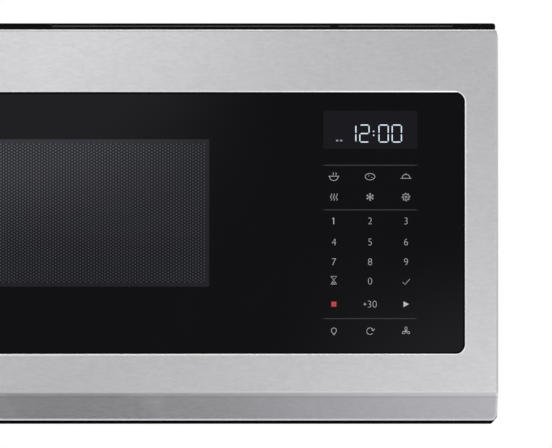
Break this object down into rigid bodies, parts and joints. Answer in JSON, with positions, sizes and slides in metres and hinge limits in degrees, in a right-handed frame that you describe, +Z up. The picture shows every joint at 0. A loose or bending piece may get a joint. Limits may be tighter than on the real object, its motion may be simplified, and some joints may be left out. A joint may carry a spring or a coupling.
{
  "type": "over the range microwave oven",
  "caption": "Wall-hung microwave oven with a full-width steel and black glass door, a turntable, and a fan hood with filters and lamps in its base.",
  "frame": {"origin": "middle of the underside of the bounding box", "axes": "+X to the right seen from the front, the door faces -Y, +Z up"},
  "size_m": [0.7588, 0.4128, 0.4334],
  "materials": {
    "front_steel": "horizontal brushed grain, satin",
    "black_glass": "polished, opaque black outside the window",
    "screen": "perforated, black enamel",
    "black_paint": "fine satin powder coat",
    "grey_paint": "smooth semi-gloss enamel",
    "zinc_steel": "galvanised",
    "spring_steel": "plain wire",
    "black_plastic": "fine moulded texture",
    "white_plastic": "plain moulded",
    "clear_glass": "clear, lightly polished",
    "aluminium": "mill finish mesh",
    "charcoal": "granular pad in a black frame",
    "board": "lacquered circuit board"
  },
  "bodies": {
    "root": {"hinge_bracket_upper": "zinc_steel", "hinge_bracket_lower": "zinc_steel", "top_grille": "black_plastic", "outer_cover": "black_paint", "rear_panel": "zinc_steel", "wall_plate": "zinc_steel", "front_frame": "grey_paint", "base_pan": "black_paint", "lamp_lens_left": "clear_glass", "lamp_lens_right": "clear_glass", "surface_lamp_left": "grey_paint", "surface_lamp_right": "grey_paint", "cavity_liner": "grey_paint", "waveguide_cover": "white_plastic", "waveguide": "zinc_steel", "magnetron": "zinc_steel", "cavity_lamp": "grey_paint", "turntable_motor": "zinc_steel", "fan_shroud": "black_plastic", "magnetron_fan_motor": "zinc_steel", "blower_housing": "zinc_steel", "blower_motor": "zinc_steel", "charcoal_filter": "charcoal", "hv_transformer": "zinc_steel", "hv_capacitor": "aluminium", "power_board": "board", "noise_filter": "board", "cord_gland": "black_plastic", "latch_board": "white_plastic", "switch_primary": "black_plastic", "switch_monitor": "black_plastic", "switch_secondary": "black_plastic"},
    "door": {"door_front_panel": "front_steel", "door_glass": "black_glass", "door_screen": "screen", "door_choke_frame": "black_paint", "door_inner_cover": "black_plastic", "door_inner_window": "clear_glass", "handle_pocket": "black_plastic", "display_module": "board", "touch_board": "board", "latch_spring": "spring_steel"},
    "latch": {"latch_hooks": "white_plastic"},
    "turntable": {"glass_tray": "clear_glass", "drive_coupler": "white_plastic"},
    "roller_ring": {"roller_ring": "white_plastic"},
    "roller_wheel_1": {"roller_wheel_1": "white_plastic"},
    "roller_wheel_2": {"roller_wheel_2": "white_plastic"},
    "roller_wheel_3": {"roller_wheel_3": "white_plastic"},
    "blower_rotor": {"blower_rotor": "black_plastic"},
    "magnetron_fan": {"magnetron_fan_wheel": "black_plastic"},
    "filter_left": {"grease_filter_left": "aluminium"},
    "filter_right": {"grease_filter_right": "aluminium"},
    "plunger_primary": {"plunger_primary": "white_plastic"},
    "plunger_monitor": {"plunger_monitor": "white_plastic"},
    "plunger_secondary": {"plunger_secondary": "white_plastic"}
  },
  "joints": [
    {"name": "door_hinge", "type": "hinge", "parent": "root", "child": "door", "pos_m": [-0.3724, -0.1724, 0.2], "axis": [0, 0, -1], "range_deg": [0, 110]},
    {"name": "latch_lift", "type": "slide", "parent": "door", "child": "latch", "axis": [0, 0, 1], "range_m": [0, 0.004], "stiffness_N_per_m": 500, "springref_m": -0.004, "deforming": ["latch_spring"]},
    {"name": "tray_spin", "type": "hinge", "parent": "root", "child": "turntable", "pos_m": [-0.09, 0.0144, 0.08], "axis": [0, 0, 1], "continuous": true},
    {"name": "ring_roll", "type": "hinge", "parent": "root", "child": "roller_ring", "pos_m": [-0.09, 0.0144, 0.078], "axis": [0, 0, 1], "continuous": true},
    {"name": "rotor_spin", "type": "hinge", "parent": "root", "child": "blower_rotor", "pos_m": [-0.09, 0.14, 0.3756], "axis": [1, 0, 0], "continuous": true},
    {"name": "fan_spin", "type": "hinge", "parent": "root", "child": "magnetron_fan", "pos_m": [0.262, 0.076, 0.277], "axis": [0, 1, 0], "continuous": true},
    {"name": "filter_left_slide", "type": "slide", "parent": "root", "child": "filter_left", "axis": [1, 0, 0], "range_m": [0, 0.012]},
    {"name": "filter_right_slide", "type": "slide", "parent": "root", "child": "filter_right", "axis": [1, 0, 0], "range_m": [0, 0.012]},
    {"name": "wheel_1_roll", "type": "hinge", "parent": "roller_ring", "child": "roller_wheel_1", "pos_m": [0.018, 0.0144, 0.0783], "axis": [1, 0, 0], "continuous": true},
    {"name": "wheel_2_roll", "type": "hinge", "parent": "roller_ring", "child": "roller_wheel_2", "pos_m": [-0.144, 0.10793, 0.0783], "axis": [-0.5, 0.866, 0], "continuous": true},
    {"name": "wheel_3_roll", "type": "hinge", "parent": "roller_ring", "child": "roller_wheel_3", "pos_m": [-0.144, -0.07913, 0.0783], "axis": [-0.5, -0.866, 0], "continuous": true},
    {"name": "plunger_primary_slide", "type": "slide", "parent": "root", "child": "plunger_primary", "axis": [0, -1, 0], "range_m": [0, 0.002]},
    {"name": "plunger_monitor_slide", "type": "slide", "parent": "root", "child": "plunger_monitor", "axis": [0, -1, 0], "range_m": [0, 0.002]},
    {"name": "plunger_secondary_slide", "type": "slide", "parent": "root", "child": "plunger_secondary", "axis": [0, -1, 0], "range_m": [0, 0.002]}
  ],
  "couplings": [
    {"joint": "ring_roll", "follows": "tray_spin", "ratio": 0.5},
    {"joint": "wheel_1_roll", "follows": "tray_spin", "ratio": -6.75},
    {"joint": "wheel_2_roll", "follows": "tray_spin", "ratio": -6.75},
    {"joint": "wheel_3_roll", "follows": "tray_spin", "ratio": -6.75},
    {"joint": "plunger_primary_slide", "follows": "door_hinge", "m_per_rad": 0.00104},
    {"joint": "plunger_monitor_slide", "follows": "door_hinge", "m_per_rad": 0.00104},
    {"joint": "plunger_secondary_slide", "follows": "door_hinge", "m_per_rad": 0.00104}
  ]
}
